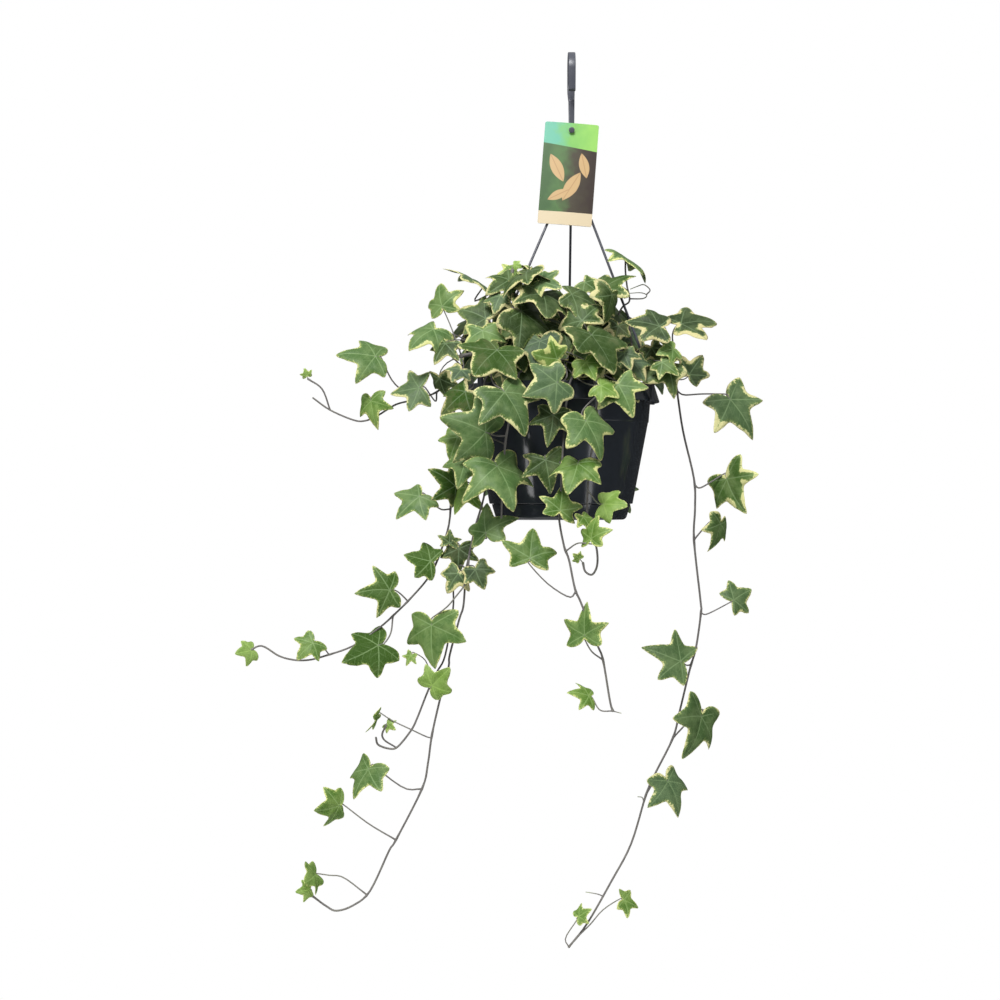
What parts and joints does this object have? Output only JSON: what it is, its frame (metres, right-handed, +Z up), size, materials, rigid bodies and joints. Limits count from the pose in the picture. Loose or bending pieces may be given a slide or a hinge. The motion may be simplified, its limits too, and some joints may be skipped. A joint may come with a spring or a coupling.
{
  "type": "potted variegated english ivy in a hanging pot",
  "caption": "Variegated ivy with long trailing stems in a round plastic hanging pot with saucer, hook hanger and card tag.",
  "frame": {"origin": "inner crown of the hanger's hook, the point that hangs on a rail or hook", "axes": "+Z up, +X to the right and +Y away from someone who looks at the front"},
  "size_m": [0.3971, 0.219, 0.6845],
  "materials": {
    "pot_plastic": "satin injection-moulded polypropylene",
    "hanger_plastic": "semi-matt injection-moulded polypropylene",
    "soil": "loose dark peat",
    "card": "printed card with a thin gloss film",
    "ivy": "waxy leaf, satin, with cream margins"
  },
  "bodies": {
    "root": {"pot": "pot_plastic", "saucer": "pot_plastic", "soil": "soil", "hanger": "hanger_plastic", "tag": "card", "crown_front": "ivy", "crown_back": "ivy", "vine_front_left": "ivy", "vine_front": "ivy", "vine_centre": "ivy", "vine_long_left": "ivy", "vine_lower_left": "ivy", "vine_upper_left": "ivy", "vine_long_right": "ivy", "vine_right": "ivy", "vine_upper_right": "ivy", "vine_back_left": "ivy", "vine_back_right": "ivy"}
  },
  "joints": []
}
